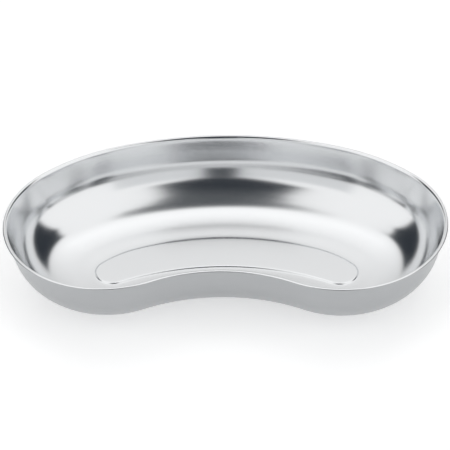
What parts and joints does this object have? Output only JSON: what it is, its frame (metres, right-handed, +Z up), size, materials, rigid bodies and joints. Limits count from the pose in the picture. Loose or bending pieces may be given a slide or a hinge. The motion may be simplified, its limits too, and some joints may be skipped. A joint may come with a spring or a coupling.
{
  "type": "kidney dish",
  "caption": "Shallow stainless steel kidney-shaped dish with a round-cornered bowl, a narrow rolled lip, a concave front and a raised flat floor panel.",
  "frame": {"origin": "middle of the rim's bounding rectangle, on the plane that the dish stands on", "axes": "+X along the length, +Y from the concave front towards the convex back, +Z up out of the bowl"},
  "size_m": [0.25, 0.14, 0.04],
  "materials": {
    "stainless_steel": "satin-polished inside, fine horizontal brushing outside"
  },
  "bodies": {
    "root": {"pressed_dish": "stainless_steel"}
  },
  "joints": []
}
